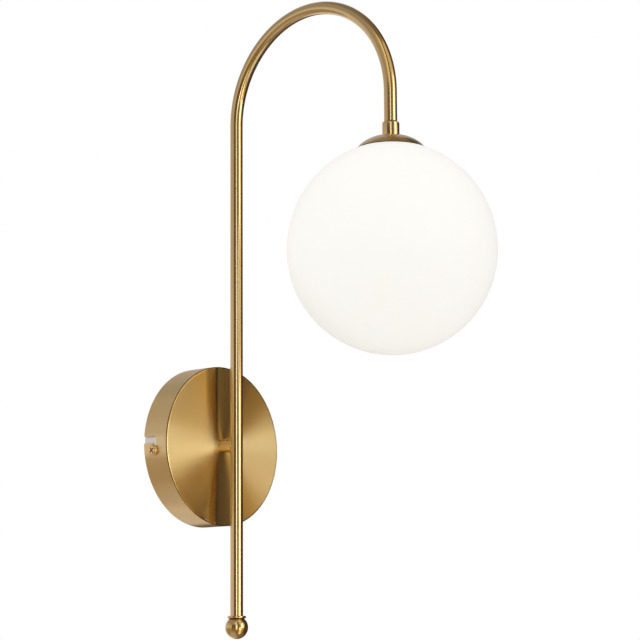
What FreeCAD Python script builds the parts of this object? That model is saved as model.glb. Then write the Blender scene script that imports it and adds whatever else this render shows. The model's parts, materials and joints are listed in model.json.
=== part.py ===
import FreeCAD, Part
import math
import os

# A wall light with a bowed brass arm: a drum on the wall, a hooked tube with a ball at its foot,
# and an opal glass globe that hangs from a small domed cap.
# Millimetres. The wall is the plane Y = 0, the room lies at negative Y, and Z is up.
# The origin is the middle of the drum on the wall.

# Fits and cuts
running_gap = 0.05             # round parts that slide into each other
overcut = 1.0                  # cutting bodies run this far past the faces they open
same = 1e-6                    # two heights closer than this are the same

# Screws
head_round = 0.45              # edge rounding, as a share of the head's height
recess_depth = 0.55            # cross recess, as a share of the head's height
recess_reach = 0.55            # half the length of the cross, as a share of the head's radius
recess_slit = 0.11             # half the width of the cross, as a share of the head's radius

# Drum and its twist lock
drum_radius = 60.0
drum_depth = 24.0              # wall to front face
drum_wall = 1.0
drum_edge = 1.0                # rounding of the front edge
rim_gap = 0.3                  # rim to wall, so that the drum turns freely
lock_angle = 5.8               # drum screws, degrees below level on the left
twist_angle = 7.6              # turn that frees the drum
slot_width = 4.6
screw_depth = 10.85            # wall to the axis of a drum screw
screw_radius = 2.0
screw_length = 10.0
screw_gap = 0.3                # drum screw head to the drum, once slackened
head_radius = 4.0
head_height = 2.6

# Wall bracket
bracket_thickness = 1.5
bar_width = 26.0
upright_width = 22.0
upright_clearance = 9.0        # ends of the upright to the inside of the drum
ear_width = 24.0
ear_reach = 17.0               # wall to the front edge of an ear
ear_clearance = 0.4            # ear to the inside of the drum
ear_boss_radius = 3.4
ear_boss_height = 1.5
wall_slot_width = 4.5
wall_slot_length = 16.0
bar_slot_spacing = 70.0
upright_slot_margin = 4.0      # end of an upright slot to the end of the upright
entry_hole_radius = 6.5
grommet_bore = 3.5
grommet_lip_radius = 8.5
grommet_lip = 1.2
grommet_edge = 0.6
earth_screw_height = 20.0      # above the middle of the bracket
small_screw_radius = 2.0
small_head_radius = 3.5
small_head_height = 2.4

# Arm
tube_radius = 4.75
tube_wall = 1.0
tube_stand_off = 13.5          # drum face to the axis of the tube
bend_radius = 76.5
bend_height = 245.0            # level where the bow begins
tube_foot = -126.8
post_radius = 5.5
post_length = 7.1
saddle_radius = 5.3
saddle_reach = 5.2             # along the axis of the post
saddle_edge = 1.2
nipple_radius = 4.0
nipple_bore = 3.0
nipple_tail = 9.0              # length behind the inside of the drum face
nipple_setback = 0.15          # front end of the nipple to the tube
lead_hole_radius = 2.75
washer_thickness = 0.5
washer_radius = 6.0
washer_teeth = 12
washer_notch = 0.33            # notch radius, as a share of the way from tooth to tooth
nut_flats = 13.0
nut_height = 3.0
thin_nut_height = 2.5

# Ball at the foot of the tube
collar_radius = 6.9
collar_height = 1.9
collar_edge = 0.7
ball_radius = 8.5
ball_sink = 6.6                # flat top of the ball above its centre
stud_radius = 2.0
stud_length = 10.0
plug_length = 12.0

# Shade fittings, stacked down the axis of the drop
ferrule_radius = 6.25
ferrule_height = 10.65
ferrule_drop = 22.75           # foot of the bow to the top of the ferrule
ferrule_socket = 7.0           # depth of the tube in the ferrule
ferrule_land = 0.15            # flat ring left between the tube and the chamfer
ferrule_stub = 9.0
cap_radius = 24.5
cap_half_width = 27.0          # half axes of the ellipse that the dome is spun to
cap_half_height = 17.0
cap_wall = 0.8
gripper_thickness = 0.6
gripper_width = 8.0
gripper_hub = 9.0
gripper_turn = 30.0            # first finger, degrees from the X axis
finger_count = 3
finger_flat = 13.5             # where a finger of the gripper turns down
finger_shoulder = 1.5          # its fall before it stands upright in the mouth
finger_tail = 6.0              # lead-in below the glass
finger_taper = 2.6
finger_gap = 0.3               # corner of a finger to the wall of the mouth

# Globe
globe_radius = 75.0
globe_stretch = 2.2            # the upper half is drawn up by this much towards the mouth
glass_wall = 3.0
mouth_radius = 20.0
mouth_edge = 0.8
gasket_seat = 21.4             # radius at which the sealing ring touches the dome
gasket_cord = 0.8              # half its thickness
seat_gap = 0.35                # sealing ring to the glass

# Lamp holder
holder_drop = 9.2              # lower nut to the top of the lamp holder
holder_length = 19.0
holder_width = 21.0
holder_depth = 15.0
holder_edge = 2.0
holder_screw_drop = 8.0        # top of the lamp holder to its side screws
holder_screw_radius = 1.5
holder_screw_bite = 3.0        # length of a side screw in the lamp holder
holder_hole_depth = 3.5
holder_head_radius = 2.75
holder_head_height = 1.8
stirrup_thickness = 1.0
stirrup_width = 10.0
stirrup_tail = 2.3             # below the axis of the side screws
stirrup_gap = 0.5              # stirrup to the lamp holder
pin_pitch = 9.0
contact_width = 2.4
contact_depth = 6.0
contact_length = 10.0
contact_wall = 0.4
socket_depth = 4.0
lead_way = 0.2                 # lead to its hole in the lamp holder

# Lamp
lamp_gap = 0.35                # lamp to lamp holder
lamp_base_width = 14.0
lamp_base_depth = 8.0
lamp_base_length = 14.0
lamp_base_edge = 1.5
skirt_wall = 0.6
skirt_length = 5.0
pin_wire = 0.5
pin_loop = 2.2
pin_length = 8.8
pin_root = 3.0                 # length of a pin inside the base
envelope_radius = 8.0
envelope_length = 37.5
envelope_wall = 0.8
envelope_inset = 0.6           # top of the envelope above the foot of the base
board_width = 9.0
board_length = 26.0
board_thickness = 1.0
chip_size = 2.4
chip_height = 0.7
chip_pitch = 4.2
chip_count = 5
chip_inset = 5.0               # top of the board to the middle of the first chip

# Terminals
plate_width = 16.0
plate_thickness = 1.0
plate_corner = 3.0
plate_top = 12.0
plate_margin = 4.0             # foot of the plate to the terminal block
pole_pitch = 10.0
block_gap = 5.2                # crimped barrel of the tag to the terminal block
block_length = 16.0
block_height = 13.0
block_wall = 1.5
block_edge = 0.8
groove_width = 1.8
groove_depth = 5.0
insert_radius = 2.6
insert_bore = 1.5
clamp_screw_radius = 1.3
clamp_screw_inset = 4.4
clamp_screw_recess = 1.5       # face of the block to the top of a clamping screw
clamp_hole_radius = 1.8
clamp_slit_width = 0.5
clamp_slit_depth = 0.6
clamp_gap = 0.1                # clamping screw to its lead
block_screw_radius = 1.25
block_screw_sink = 7.0         # depth of the screw heads in the block
block_screw_head = 2.1
block_screw_head_height = 1.6
block_sink_gap = 0.1
tag_thickness = 0.8
tag_radius = 4.0
tag_drop = 17.0                # nipple to the earth screw
tag_tail = 7.5
tag_tail_width = 2.6
tag_barrel = 4.0
tag_barrel_wall = 0.45
tag_barrel_drop = 7.8          # earth screw to the foot of the crimped barrel

# Leads
lead_radius = 0.9
lead_side = 1.0                # half the distance between the two leads
lead_drop = 1.4                # leads below the axis of the nipple
lead_offset = 1.5              # leads from the axis of the tube, towards the bow's inside
lead_bend = 12.0               # turn from the nipple into the tube
lead_end = 6.0                 # length of a lead's end in the terminal block
lead_rise = 6.0                # its straight run above the block
lead_shoulder = 5.5            # half the width between the leads where they turn to the nipple
lead_shoulder_drop = 14.0
lead_clearance = 2.2           # leads to the lip of the grommet
lead_stub_gap = 0.3            # below the stub, where the leads spread to their contacts
lead_spread_rise = 2.5         # above the lamp holder
arc_share = 0.45               # of the shorter run, taken up by a free turn
earth_start = 5.0              # earth screw to the crimped end of its lead
earth_run = 5.2
earth_dip = 0.6                # below the top of the block, where its lead stands upright

# Places that follow from the sizes above
face_y = -drum_depth
inner_face_y = face_y + drum_wall
drum_bore = drum_radius - drum_wall
ear_radius = drum_bore - ear_clearance
upright_reach = drum_bore - upright_clearance
upright_slot_place = upright_reach - upright_slot_margin - wall_slot_length / 2
grommet_front = -bracket_thickness - grommet_lip
tube_y = face_y - tube_stand_off
tube_bore = tube_radius - tube_wall
bow_y = tube_y - bend_radius
drop_y = tube_y - 2 * bend_radius
post_front = face_y - post_length
nipple_front = tube_y + tube_radius + nipple_setback
sliding_bore = nipple_radius + running_gap
collar_foot = tube_foot - collar_height
ball_centre = collar_foot - ball_sink
ferrule_top = bend_height - ferrule_drop
ferrule_foot = ferrule_top - ferrule_height
tube_tip = ferrule_top - ferrule_socket
stub_foot = ferrule_foot - ferrule_stub
cap_seat = ferrule_foot - cap_wall
upper_nut_top = cap_seat - washer_thickness
gripper_top = upper_nut_top - nut_height
stirrup_top = gripper_top - gripper_thickness
lower_nut_top = stirrup_top - stirrup_thickness
holder_top = lower_nut_top - thin_nut_height - holder_drop
holder_foot = holder_top - holder_length
holder_screw_height = holder_top - holder_screw_drop
stirrup_outer = holder_width / 2 + stirrup_gap + stirrup_thickness
contact_foot = holder_foot + socket_depth
contact_top = contact_foot + contact_length
lamp_top = contact_foot - lamp_gap
lamp_base_foot = lamp_top - lamp_base_length
envelope_top = lamp_base_foot + envelope_inset
plate_front_y = inner_face_y + plate_thickness
tag_height = -tag_drop
tag_barrel_y = plate_front_y + tag_barrel_wall + lead_radius
tag_foot = tag_height - tag_barrel_drop
block_top = tag_foot - block_gap
block_middle = block_top - block_length / 2
block_foot = block_top - block_length
plate_foot = block_foot - plate_margin
block_back_y = plate_front_y + block_height
pole_y = plate_front_y + block_height / 2

# The dome is part of an ellipse, and its inside is an ellipse of the same centre.
dome_centre = ferrule_foot - cap_half_height * math.sqrt(1 - (ferrule_radius / cap_half_width) ** 2)
dome_bore_width = cap_half_width - cap_wall
dome_bore_height = cap_half_height - cap_wall
cap_rim = dome_centre + cap_half_height * math.sqrt(1 - (cap_radius / cap_half_width) ** 2)

# The sealing ring touches the inside of the dome, and the glass hangs just below the ring.
seat_rise = dome_bore_height * math.sqrt(1 - (gasket_seat / dome_bore_width) ** 2)
seat_lean = math.atan2(gasket_seat / dome_bore_width ** 2, seat_rise / dome_bore_height ** 2)
gasket_ring = gasket_seat - gasket_cord * math.sin(seat_lean)
gasket_height = dome_centre + seat_rise - gasket_cord * math.cos(seat_lean)
globe_rise = globe_radius + globe_stretch
ring_share = gasket_ring / globe_radius
glass_slope = globe_rise / globe_radius * ring_share / math.sqrt(1 - ring_share ** 2)
glass_under_ring = gasket_height - (gasket_cord + seat_gap) * math.hypot(1, glass_slope)
globe_centre = glass_under_ring - globe_rise * math.sqrt(1 - ring_share ** 2)


def vec(x, y, z):
    return FreeCAD.Vector(x, y, z)


def box(x0, x1, y0, y1, z0, z1):
    return Part.makeBox(x1 - x0, y1 - y0, z1 - z0, vec(x0, y0, z0))


def rod_x(radius, x0, x1, y, z):
    return Part.makeCylinder(radius, x1 - x0, vec(x0, y, z), vec(1, 0, 0))


def rod_y(radius, y0, y1, x=0.0, z=0.0):
    return Part.makeCylinder(radius, y1 - y0, vec(x, y0, z), vec(0, 1, 0))


def rod_z(radius, z0, z1, x=0.0, y=0.0):
    return Part.makeCylinder(radius, z1 - z0, vec(x, y, z0), vec(0, 0, 1))


def rims_at(shape, axis, place):
    # The edges of a shape that lie in the plane X, Y or Z = place.
    found = []
    for edge in shape.Edges:
        bounds = edge.BoundBox
        low, high = {"x": (bounds.XMin, bounds.XMax), "y": (bounds.YMin, bounds.YMax),
                     "z": (bounds.ZMin, bounds.ZMax)}[axis]
        if abs(low - place) < same and abs(high - place) < same:
            found.append(edge)
    return found


def turned_z(edges):
    # A closed profile in the plane X Z, turned round the Z axis.
    face = Part.Face(Part.Wire(Part.__sortEdges__(edges)))
    return face.revolve(vec(0, 0, 0), vec(0, 0, 1), 360)


def lines(points):
    return [Part.makeLine(vec(*a), vec(*b)) for a, b in zip(points, points[1:])]


def hexagon(flats):
    # Six-sided outline round the origin in the plane X Y.
    corner = flats / math.sqrt(3)
    turns = [k * math.pi / 3 for k in range(7)]
    return Part.Face(Part.makePolygon([vec(corner * math.cos(a), corner * math.sin(a), 0) for a in turns]))


def along_y(shape, y):
    # Lays a shape that stands on the plane X Y down, so that it rises along Y from the given place.
    laid = shape.copy()
    laid.rotate(vec(0, 0, 0), vec(1, 0, 0), -90)
    return laid.translated(vec(0, y, 0))


def slot_y(length, width, y0, y1, x, z, upright=False):
    # A round-ended slot cut along Y, lying along X or standing along Z.
    reach = (length - width) / 2
    if upright:
        body = box(x - width / 2, x + width / 2, y0, y1, z - reach, z + reach)
        ends = [rod_y(width / 2, y0, y1, x, z - reach), rod_y(width / 2, y0, y1, x, z + reach)]
    else:
        body = box(x - reach, x + reach, y0, y1, z - width / 2, z + width / 2)
        ends = [rod_y(width / 2, y0, y1, x - reach, z), rod_y(width / 2, y0, y1, x + reach, z)]
    return body.multiFuse(ends)


def route(points, radii):
    # Straight runs joined by tangent arcs. A radius of None is as large as the two runs allow.
    edges = []
    used = []
    here = vec(*points[0])
    for before, corner, after, radius in zip(points, points[1:], points[2:], radii):
        corner = vec(*corner)
        back = vec(*before) - corner
        onward = vec(*after) - corner
        half_turn = (math.pi - back.getAngle(onward)) / 2
        if radius is None:
            radius = arc_share * min(back.Length, onward.Length) / math.tan(half_turn)
        used.append(round(radius, 1))
        back.normalize()
        onward.normalize()
        start = corner + back * (radius * math.tan(half_turn))
        finish = corner + onward * (radius * math.tan(half_turn))
        middle = corner + (back + onward).normalize() * (radius / math.cos(half_turn) - radius)
        if here.distanceToPoint(start) > same:
            edges.append(Part.makeLine(here, start))
        edges.append(Part.Arc(start, middle, finish).toShape())
        here = finish
    edges.append(Part.makeLine(here, vec(*points[-1])))
    print("lead radii", used)
    return Part.Wire(edges)


def round_bar(path, radius):
    first = path.Edges[0]
    start = first.valueAt(first.FirstParameter)
    way = first.tangentAt(first.FirstParameter)
    ring = Part.Wire(Part.makeCircle(radius, start, way))
    return path.makePipeShell([ring], True, False)


def bent_strip(points, thickness, width):
    # A strip of even thickness whose upper side follows (radius, height) points, centred on Y = 0.
    lower = []
    count = len(points)
    for k in range(count):
        r, z = points[k]
        normals = []
        for a, b in ((k - 1, k), (k, k + 1)):
            if a >= 0 and b < count:
                dr = points[b][0] - points[a][0]
                dz = points[b][1] - points[a][1]
                size = math.hypot(dr, dz)
                normals.append((dz / size, -dr / size))
        nr = sum(n[0] for n in normals)
        nz = sum(n[1] for n in normals)
        size = math.hypot(nr, nz)
        nr = nr / size
        nz = nz / size
        mitre = nr * normals[0][0] + nz * normals[0][1]
        lower.append((r + nr * thickness / mitre, z + nz * thickness / mitre))
    outline = points + lower[::-1] + points[:1]
    face = Part.Face(Part.makePolygon([vec(r, -width / 2, z) for r, z in outline]))
    return face.extrude(vec(0, width, 0))


def cross_screw(shank_radius, length, radius, height):
    # A domed head with a cross recess. Its seat is at the origin, its head points to +X.
    head = rod_x(radius, 0, height, 0, 0)
    head = head.makeFillet(head_round * height, rims_at(head, "x", height))
    floor = height - recess_depth * height
    reach = recess_reach * radius
    half = recess_slit * radius
    head = head.cut(box(floor, height + overcut, -reach, reach, -half, half))
    head = head.cut(box(floor, height + overcut, -half, half, -reach, reach))
    return head.fuse(rod_x(shank_radius, -length, floor / 2, 0, 0)).removeSplitter()


def aimed(shape, place, way):
    turn = FreeCAD.Rotation(vec(1, 0, 0), vec(*way))
    return shape.transformed(FreeCAD.Placement(vec(*place), turn).toMatrix())


def toothed_washer():
    # Flat ring on the plane X Y with shallow notches round its rim.
    ring = Part.makeCylinder(washer_radius, washer_thickness)
    ring = ring.cut(Part.makeCylinder(sliding_bore, washer_thickness))
    step = 2 * math.pi / washer_teeth
    notches = []
    for k in range(washer_teeth):
        x = washer_radius * math.cos(k * step)
        y = washer_radius * math.sin(k * step)
        notches.append(rod_z(washer_notch * washer_radius * step / 2, 0, washer_thickness, x, y))
    return ring.cut(Part.makeCompound(notches))


def hex_nut(height):
    nut = hexagon(nut_flats).extrude(vec(0, 0, height))
    return nut.cut(rod_z(nipple_radius, 0, height))


def paired(shape):
    # The shape and its copy turned half a turn about the axis of the drum.
    other = shape.copy()
    other.rotate(vec(0, 0, 0), vec(0, 1, 0), 180)
    return [shape, other]


def turned_down(shape, degrees):
    # Turns a shape about the axis of the drum so that its left side goes down.
    moved = shape.copy()
    moved.rotate(vec(0, 0, 0), vec(0, -1, 0), degrees)
    return moved


def wall_bracket():
    back = -bracket_thickness
    bar = box(-drum_radius, drum_radius, back, 0, -bar_width / 2, bar_width / 2)
    bar = bar.common(rod_y(ear_radius, back, 0))
    half = upright_width / 2
    upright = box(-half, half, back, 0, -upright_reach, upright_reach)
    shell = rod_y(ear_radius, -ear_reach, 0).cut(rod_y(ear_radius - bracket_thickness, -ear_reach, 0))
    ears = shell.common(box(-drum_radius, drum_radius, -ear_reach, 0, -ear_width / 2, ear_width / 2))
    boss_start = bracket_thickness / 2 - ear_radius
    boss_end = bracket_thickness - ear_radius + ear_boss_height
    boss = rod_x(ear_boss_radius, boss_start, boss_end, -screw_depth, 0)
    bosses = [turned_down(b, lock_angle) for b in paired(boss)]
    plate = bar.multiFuse([upright] + list(ears.Solids) + bosses)
    cuts = [rod_y(entry_hole_radius, back, 0), rod_y(small_screw_radius, back, 0, 0, earth_screw_height)]
    for side in (-1, 1):
        x = side * bar_slot_spacing / 2
        z = side * upright_slot_place
        cuts.append(slot_y(wall_slot_length, wall_slot_width, back, 0, x, 0))
        cuts.append(slot_y(wall_slot_length, wall_slot_width, back, 0, 0, z, True))
    hole = rod_x(screw_radius, -drum_radius, boss_end + overcut, -screw_depth, 0)
    cuts += [turned_down(h, lock_angle) for h in paired(hole)]
    return plate.cut(Part.makeCompound(cuts)).removeSplitter()


def drum_screws():
    screw = cross_screw(screw_radius, screw_length, head_radius, head_height)
    screw = aimed(screw, (-drum_radius - screw_gap, -screw_depth, 0), (-1, 0, 0))
    return Part.makeCompound([turned_down(s, lock_angle) for s in paired(screw)])


def cable_grommet():
    lip = rod_y(grommet_lip_radius, grommet_front, -bracket_thickness)
    lip = lip.makeFillet(grommet_edge, rims_at(lip, "y", grommet_front))
    body = lip.fuse(rod_y(entry_hole_radius, -bracket_thickness, 0))
    return body.cut(rod_y(grommet_bore, grommet_front, 0)).removeSplitter()


def bracket_earth_screw():
    screw = cross_screw(small_screw_radius, bracket_thickness, small_head_radius, small_head_height)
    return aimed(screw, (0, -bracket_thickness, earth_screw_height), (0, -1, 0))


def lock_slots():
    # Two slots like an L: open at the rim, then round the drum to where the screws sit.
    half = slot_width / 2
    outside = -drum_radius - overcut
    inside = overcut - drum_bore
    end = rod_x(half, outside, inside, -screw_depth, 0)
    mouth = end.fuse(box(outside, inside, -screw_depth, overcut, -half, half))
    band = rod_y(-outside, -screw_depth - half, half - screw_depth)
    band = band.cut(rod_y(-inside, -screw_depth - half, half - screw_depth))
    reach = drum_radius + drum_depth
    sweep = math.radians(twist_angle)
    far = vec(-reach * math.cos(sweep), face_y, reach * math.sin(sweep))
    wedge = Part.makePolygon([vec(0, face_y, 0), vec(-reach, face_y, 0), far, vec(0, face_y, 0)])
    leg = band.common(Part.Face(wedge).extrude(vec(0, drum_depth, 0)))
    pieces = [turned_down(end, lock_angle), turned_down(leg, lock_angle)]
    pieces.append(turned_down(mouth, lock_angle - twist_angle))
    return Part.makeCompound([p for piece in pieces for p in paired(piece)])


def drum_cover():
    shell = rod_y(drum_radius, face_y, -rim_gap)
    shell = shell.makeFillet(drum_edge, rims_at(shell, "y", face_y))
    shell = shell.cut(rod_y(drum_bore, inner_face_y, overcut))
    shell = shell.cut(rod_y(sliding_bore, face_y - overcut, inner_face_y + overcut))
    return shell.cut(lock_slots()).removeSplitter()


def terminal_plate():
    half = plate_width / 2
    plate = box(-half, half, inner_face_y, plate_front_y, plate_foot, plate_top)
    corners = [e for e in plate.Edges if e.BoundBox.YLength > plate_thickness / 2]
    plate = plate.makeFillet(plate_corner, corners)
    plate = plate.cut(rod_y(sliding_bore, inner_face_y, plate_front_y))
    plate = plate.cut(rod_y(small_screw_radius, inner_face_y, plate_front_y, 0, tag_height))
    for side in (-1, 1):
        x = side * pole_pitch / 2
        plate = plate.cut(rod_y(block_screw_radius, inner_face_y, plate_front_y, x, block_middle))
    return plate


def clamp_screw_heights():
    reach = block_length / 2 - clamp_screw_inset
    return (block_middle - reach, block_middle + reach)


def terminal_block():
    half = 1.5 * pole_pitch
    body = box(-half, half, plate_front_y, block_back_y, block_foot, block_top)
    body = body.makeFillet(block_edge, rims_at(body, "y", block_back_y))
    for side in (-1, 1):
        x = side * pole_pitch / 2
        body = body.cut(box(x - groove_width / 2, x + groove_width / 2, block_back_y - groove_depth,
                            block_back_y + overcut, block_foot - overcut, block_top + overcut))
        body = body.cut(rod_y(block_screw_radius, plate_front_y, block_back_y, x, block_middle))
        body = body.cut(rod_y(block_screw_head + block_sink_gap, block_back_y - block_screw_sink,
                              block_back_y, x, block_middle))
    for pole in (-1, 0, 1):
        x = pole * pole_pitch
        body = body.cut(rod_z(insert_radius, block_foot, block_top, x, pole_y))
        for z in clamp_screw_heights():
            body = body.cut(rod_y(clamp_hole_radius, pole_y, block_back_y, x, z))
    return body


def terminal_inserts():
    foot = block_foot + block_wall
    top = block_top - block_wall
    pieces = []
    for pole in (-1, 0, 1):
        x = pole * pole_pitch
        barrel = rod_z(insert_radius, foot, top, x, pole_y).cut(rod_z(insert_bore, foot, top, x, pole_y))
        for z in clamp_screw_heights():
            barrel = barrel.cut(rod_y(clamp_screw_radius, pole_y, block_back_y, x, z))
        pieces.append(barrel)
    return Part.makeCompound(pieces)


def terminal_screws():
    start = pole_y + lead_radius + clamp_gap
    top = block_back_y - clamp_screw_recess
    wide = 2 * clamp_screw_radius
    slit = clamp_slit_width / 2
    pieces = []
    for pole in (-1, 0, 1):
        x = pole * pole_pitch
        for z in clamp_screw_heights():
            shank = rod_y(clamp_screw_radius, start, top, x, z)
            pieces.append(shank.cut(box(x - wide, x + wide, top - clamp_slit_depth, top, z - slit, z + slit)))
    return Part.makeCompound(pieces)


def block_screws():
    seat = block_back_y - block_screw_sink
    length = seat - inner_face_y
    screw = cross_screw(block_screw_radius, length, block_screw_head, block_screw_head_height)
    places = [(side * pole_pitch / 2, seat, block_middle) for side in (-1, 1)]
    return Part.makeCompound([aimed(screw, place, (0, 1, 0)) for place in places])


def earth_tag():
    back = plate_front_y + tag_thickness
    half = tag_tail_width / 2
    barrel_top = tag_foot + tag_barrel
    tag = rod_y(tag_radius, plate_front_y, back, 0, tag_height)
    tag = tag.fuse(box(-half, half, plate_front_y, back, tag_height - tag_tail, tag_height))
    tag = tag.fuse(rod_z(lead_radius + tag_barrel_wall, tag_foot, barrel_top, 0, tag_barrel_y))
    tag = tag.cut(rod_z(lead_radius, tag_foot, barrel_top, 0, tag_barrel_y))
    return tag.cut(rod_y(small_screw_radius, plate_front_y, back, 0, tag_height)).removeSplitter()


def plate_earth_screw():
    seat = plate_front_y + tag_thickness
    screw = cross_screw(small_screw_radius, seat - inner_face_y, small_head_radius, small_head_height)
    return aimed(screw, (0, seat, tag_height), (0, 1, 0))


def earth_lead():
    # From the crimped tag down into the middle pole of the terminal block.
    start = tag_height - earth_start
    points = [(0, tag_barrel_y, start), (0, tag_barrel_y, start - earth_run),
              (0, pole_y, block_top - earth_dip), (0, pole_y, block_top - lead_end)]
    return round_bar(route(points, [None, None]), lead_radius)


def mains_lead(side):
    # From its pole in the terminal block, through the nipple and the whole bow, to the lamp holder.
    x = side * lead_side
    pole_x = side * pole_pitch
    contact_x = side * pin_pitch / 2
    behind = grommet_front - lead_clearance
    run_y = tube_y - lead_offset
    fall_y = drop_y + lead_offset
    bow = bend_radius - lead_offset
    points = [(pole_x, pole_y, block_top - lead_end), (pole_x, pole_y, block_top + lead_rise),
              (side * lead_shoulder, behind, -lead_shoulder_drop), (x, behind, -lead_drop),
              (x, run_y, -lead_drop), (x, run_y, bend_height + bow), (x, fall_y, bend_height + bow),
              (x, fall_y, stub_foot - lead_stub_gap), (contact_x, drop_y, holder_top + lead_spread_rise),
              (contact_x, drop_y, contact_top - contact_wall)]
    return round_bar(route(points, [None, None, None, lead_bend, bow, bow, None, None]), lead_radius)


def arm_nipple():
    back = inner_face_y + nipple_tail
    return rod_y(nipple_radius, nipple_front, back).cut(rod_y(nipple_bore, nipple_front, back))


def nipple_washer():
    return along_y(toothed_washer(), plate_front_y)


def nipple_nut():
    return along_y(hex_nut(nut_height), plate_front_y + washer_thickness)


def post_sleeve():
    return rod_y(post_radius, post_front, face_y).cut(rod_y(sliding_bore, post_front, face_y))


def tube_saddle():
    # The front end of the post, hollowed to the round of the tube.
    front = post_front - saddle_reach
    body = rod_y(saddle_radius, front, post_front)
    body = body.makeFillet(saddle_edge, rims_at(body, "y", front))
    body = body.cut(rod_z(tube_radius, -saddle_radius, saddle_radius, 0, tube_y))
    way = rod_y(lead_hole_radius, tube_y, post_front).fuse(rod_y(nipple_radius, nipple_front, post_front))
    return body.cut(way).removeSplitter()


def arm_path():
    foot = vec(0, tube_y, tube_foot)
    spring = vec(0, tube_y, bend_height)
    crown = vec(0, bow_y, bend_height + bend_radius)
    landing = vec(0, drop_y, bend_height)
    bow = Part.Arc(spring, crown, landing).toShape()
    return Part.Wire([Part.makeLine(foot, spring), bow, Part.makeLine(landing, vec(0, drop_y, tube_tip))])


def arm_tube():
    tube = round_bar(arm_path(), tube_radius).cut(round_bar(arm_path(), tube_bore))
    return tube.cut(rod_y(lead_hole_radius, tube_y, tube_y + 2 * tube_radius))


def tube_plug():
    top = tube_foot + plug_length
    plug = rod_z(tube_bore, tube_foot, top, 0, tube_y)
    return plug.cut(rod_z(stud_radius, tube_foot, top, 0, tube_y))


def finial_collar():
    disc = rod_z(collar_radius, collar_foot, tube_foot, 0, tube_y)
    disc = disc.makeFillet(collar_edge, rims_at(disc, "z", collar_foot) + rims_at(disc, "z", tube_foot))
    return disc.cut(rod_z(stud_radius + running_gap, collar_foot, tube_foot, 0, tube_y))


def finial_ball():
    ball = Part.makeSphere(ball_radius, vec(0, tube_y, ball_centre))
    ball = ball.cut(box(-ball_radius, ball_radius, tube_y - ball_radius, tube_y + ball_radius,
                        collar_foot, collar_foot + ball_radius))
    stud = rod_z(stud_radius, ball_centre, tube_foot + stud_length, 0, tube_y)
    return ball.fuse(stud).removeSplitter()


def tube_ferrule():
    body = rod_z(ferrule_radius, ferrule_foot, ferrule_top, 0, drop_y)
    chamfer = ferrule_radius - tube_radius - ferrule_land
    body = body.makeChamfer(chamfer, rims_at(body, "z", ferrule_top))
    body = body.fuse(rod_z(nipple_radius, stub_foot, tube_tip, 0, drop_y))
    body = body.cut(rod_z(tube_radius, tube_tip, ferrule_top, 0, drop_y))
    return body.cut(rod_z(nipple_bore, stub_foot, ferrule_top, 0, drop_y)).removeSplitter()


def ellipse_arc(half_width, half_height, centre, radius_from, radius_to):
    # Upper right part of an upright ellipse in the plane X Z, between two distances from the Z axis.
    def at(radius):
        share = min(radius / half_width, 1.0)
        return vec(radius, 0, centre + half_height * math.sqrt(1 - share ** 2))

    middle = vec(0, 0, centre)
    wide = vec(half_width, 0, centre)
    tall = vec(0, 0, centre + half_height)
    if half_width > half_height:
        oval = Part.Ellipse(wide, tall, middle)
    else:
        oval = Part.Ellipse(tall, wide, middle)
    first, last = sorted((oval.parameter(at(radius_from)), oval.parameter(at(radius_to))))
    return Part.Edge(oval, first, last)


def radius_inside_dome(height):
    # Inner radius of the dome at a height.
    return dome_bore_width * math.sqrt(1 - ((height - dome_centre) / dome_bore_height) ** 2)


def shade_cap():
    inner_rim = radius_inside_dome(cap_rim)
    inner_seat = radius_inside_dome(cap_seat)
    outer = ellipse_arc(cap_half_width, cap_half_height, dome_centre, ferrule_radius, cap_radius)
    inner = ellipse_arc(dome_bore_width, dome_bore_height, dome_centre, inner_seat, inner_rim)
    land = lines([(ferrule_radius, 0, ferrule_foot), (sliding_bore, 0, ferrule_foot),
                  (sliding_bore, 0, cap_seat), (inner_seat, 0, cap_seat)])
    rim = lines([(inner_rim, 0, cap_rim), (cap_radius, 0, cap_rim)])
    return turned_z([outer, inner] + land + rim).translated(vec(0, drop_y, 0))


def cap_gasket():
    return Part.makeTorus(gasket_ring, gasket_cord, vec(0, drop_y, gasket_height), vec(0, 0, 1))


def glass_height(radius, inset):
    # Height of the upper glass at a radius: its outside for no inset, its inside for the wall as inset.
    share = radius / (globe_radius - inset)
    return globe_centre + (globe_rise - inset) * math.sqrt(1 - share ** 2)


def globe_gripper():
    # A sprung spider: a flat hub whose fingers turn down through the mouth and bow out under the glass.
    under = glass_height(mouth_radius, glass_wall)
    waist = (glass_height(mouth_radius, 0) + under) / 2
    bow = math.sqrt((mouth_radius - finger_gap) ** 2 - (gripper_width / 2) ** 2)
    upright = bow - gripper_thickness
    points = [(sliding_bore, gripper_top), (finger_flat, gripper_top),
              (upright, gripper_top - finger_shoulder), (upright, waist),
              (bow, under), (bow - finger_taper, under - finger_tail)]
    finger = bent_strip(points, gripper_thickness, gripper_width)
    fingers = []
    for k in range(finger_count):
        turned = finger.copy()
        turned.rotate(vec(0, 0, 0), vec(0, 0, 1), gripper_turn + k * 360 / finger_count)
        fingers.append(turned)
    body = rod_z(gripper_hub, stirrup_top, gripper_top).multiFuse(fingers)
    body = body.cut(rod_z(sliding_bore, stirrup_top, gripper_top))
    return body.removeSplitter().translated(vec(0, drop_y, 0))


def gripper_washer():
    return toothed_washer().translated(vec(0, drop_y, upper_nut_top))


def gripper_nut():
    return hex_nut(nut_height).translated(vec(0, drop_y, gripper_top))


def holder_nut():
    return hex_nut(thin_nut_height).translated(vec(0, drop_y, lower_nut_top - thin_nut_height))


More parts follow.
